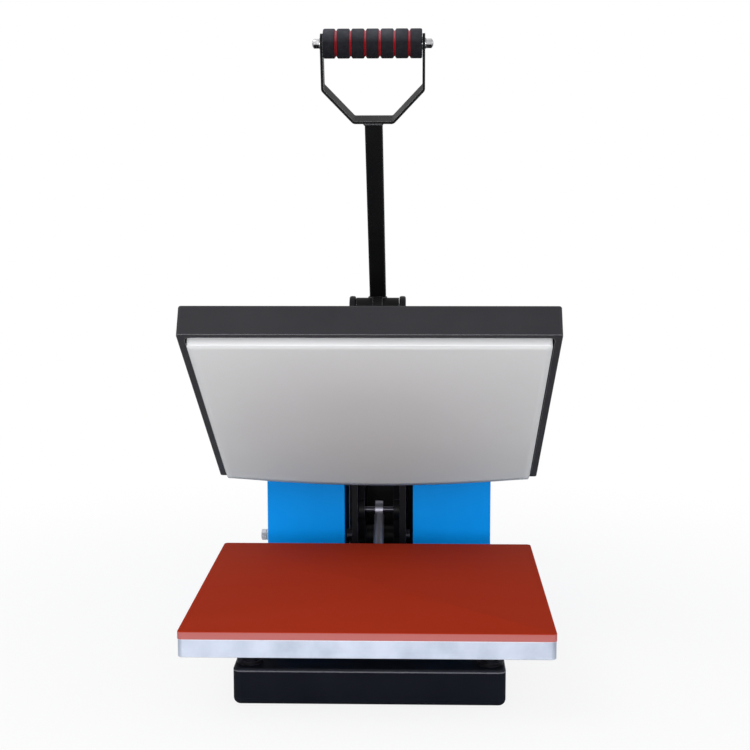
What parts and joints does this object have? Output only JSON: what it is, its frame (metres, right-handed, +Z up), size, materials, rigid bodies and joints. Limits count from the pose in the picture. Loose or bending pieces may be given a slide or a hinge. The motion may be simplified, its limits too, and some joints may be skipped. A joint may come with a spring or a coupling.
{
  "type": "flat heat press",
  "caption": "Clamshell heat press with flat square heated platen, silicone pad on an aluminium bed, toggle lever with foam grip and rear control boxes.",
  "frame": {"origin": "on the table under the middle of the whole press, standing open", "axes": "+X across the press to its right, +Y to the back, +Z up"},
  "size_m": [0.4, 0.62, 0.7181],
  "materials": {
    "black_paint": "semi-gloss black powder coat",
    "blue_paint": "gloss blue enamel",
    "charcoal_paint": "fine textured charcoal coat",
    "aluminium": "machined",
    "grey_coating": "grey non-stick coating",
    "release_cloth": "woven non-stick cloth",
    "silicone": "matt silicone",
    "insulation": "mineral wool board",
    "rubber": "matt rubber",
    "bright_zinc": "zinc plated",
    "chrome": "polished",
    "foam": "closed cell foam",
    "red_foam": "red foam ring",
    "black_plastic": "moulded",
    "red_plastic": "moulded red",
    "key_plastic": "soft grey keys",
    "screen": "dark display window"
  },
  "bodies": {
    "root": {"back_cover_left": "blue_paint", "back_cover_right": "blue_paint", "base_deck": "black_paint", "base_tray": "black_paint", "bed_plate": "aluminium", "bed_posts": "black_paint", "box_left": "blue_paint", "box_right": "blue_paint", "box_screws": "bright_zinc", "control_bezel": "black_plastic", "control_screen": "screen", "fuse_holder": "black_plastic", "hinge_bolt": "bright_zinc", "hinge_shaft": "bright_zinc", "lever_pin": "bright_zinc", "power_inlet": "black_plastic", "rubber_feet": "rubber", "silicone_pad": "silicone", "strut_lugs": "black_paint", "switch_frame": "black_plastic", "tower_back_plate": "black_paint", "tower_left": "black_paint", "tower_right": "black_paint", "tower_tie_rod": "black_paint"},
    "arm": {"arm_cheek_left": "black_paint", "arm_cheek_right": "black_paint", "arm_sleeve": "black_paint", "arm_spacers": "black_paint", "arm_head": "black_paint", "heel_pins": "bright_zinc", "strut_top_pin": "bright_zinc"},
    "platen": {"platen_cover": "charcoal_paint", "heating_plate": "grey_coating", "insulation_board": "insulation", "release_sheet": "release_cloth", "platen_bracket": "black_paint", "bracket_bolts": "bright_zinc", "guide_rods": "bright_zinc"},
    "pressure_knob": {"pressure_spindle": "bright_zinc", "pressure_knob": "black_plastic"},
    "lever": {"lever_barrel": "black_paint", "crank_plate": "black_paint", "crank_pin": "bright_zinc", "lever_tube": "black_paint", "handle_strap": "black_paint", "grip_bolt": "chrome", "grip_core": "bright_zinc", "grip_nuts": "chrome"},
    "grip": {"grip_foam": "foam", "grip_rings": "red_foam"},
    "links": {"link_left": "black_paint", "link_right": "black_paint", "link_foot_pin": "bright_zinc"},
    "strut_rod": {"strut_rod": "bright_zinc"},
    "strut_cylinder": {"strut_cylinder": "bright_zinc"},
    "rocker": {"rocker_key": "red_plastic"},
    "key_set": {"key_set": "key_plastic"},
    "key_down": {"key_down": "key_plastic"},
    "key_up": {"key_up": "key_plastic"},
    "key_start": {"key_start": "key_plastic"}
  },
  "joints": [
    {"name": "arm_tilt", "type": "hinge", "parent": "root", "child": "arm", "pos_m": [0, 0.2097, 0.0828], "axis": [1, 0, 0], "range_deg": [0, 32.25], "stiffness_Nm_per_rad": 48, "springref_deg": -57.3},
    {"name": "platen_slide", "type": "slide", "parent": "arm", "child": "platen", "axis": [0, -0.5336, -0.8457], "range_m": [0, 0.0032]},
    {"name": "knob_turn", "type": "hinge", "parent": "platen", "child": "pressure_knob", "pos_m": [0, -0.0066, 0.35785], "axis": [0, -0.5336, -0.8457], "range_deg": [0, 290]},
    {"name": "lever_swing", "type": "hinge", "parent": "root", "child": "lever", "pos_m": [0, 0.115, 0.3925], "axis": [1, 0, 0], "range_deg": [0, 59.4]},
    {"name": "link_turn", "type": "hinge", "parent": "lever", "child": "links", "pos_m": [0, 0.09344, 0.37797], "axis": [1, 0, 0], "range_deg": [-86.3, 0]},
    {"name": "strut_lean", "type": "hinge", "parent": "root", "child": "strut_rod", "pos_m": [0, 0.095, 0.055], "axis": [1, 0, 0], "range_deg": [-6.5, 0]},
    {"name": "strut_slide", "type": "slide", "parent": "strut_rod", "child": "strut_cylinder", "axis": [0, 0.7354, 0.6776], "range_m": [-0.0304, 0]},
    {"name": "grip_spin", "type": "hinge", "parent": "lever", "child": "grip", "pos_m": [0, -0.07159, 0.70192], "axis": [1, 0, 0], "continuous": true},
    {"name": "rocker_press", "type": "hinge", "parent": "root", "child": "rocker", "pos_m": [-0.094, 0.16435, 0.22499], "axis": [1, 0, 0], "range_deg": [0, 16]},
    {"name": "key_set_press", "type": "slide", "parent": "root", "child": "key_set", "axis": [0, 0.8575, -0.5145], "range_m": [0, 0.0012], "stiffness_N_per_m": 400},
    {"name": "key_down_press", "type": "slide", "parent": "root", "child": "key_down", "axis": [0, 0.8575, -0.5145], "range_m": [0, 0.0012], "stiffness_N_per_m": 400},
    {"name": "key_up_press", "type": "slide", "parent": "root", "child": "key_up", "axis": [0, 0.8575, -0.5145], "range_m": [0, 0.0012], "stiffness_N_per_m": 400},
    {"name": "key_start_press", "type": "slide", "parent": "root", "child": "key_start", "axis": [0, 0.8575, -0.5145], "range_m": [0, 0.0012], "stiffness_N_per_m": 400}
  ],
  "couplings": [
    {"joint": "lever_swing", "follows": "arm_tilt", "ratio": 1.8402},
    {"joint": "link_turn", "follows": "arm_tilt", "ratio": -2.6725},
    {"joint": "strut_lean", "follows": "arm_tilt", "ratio": -0.19186},
    {"joint": "strut_slide", "follows": "arm_tilt", "m_per_rad": -0.053952},
    {"joint": "knob_turn", "follows": "platen_slide", "rad_per_m": 1570.8}
  ]
}
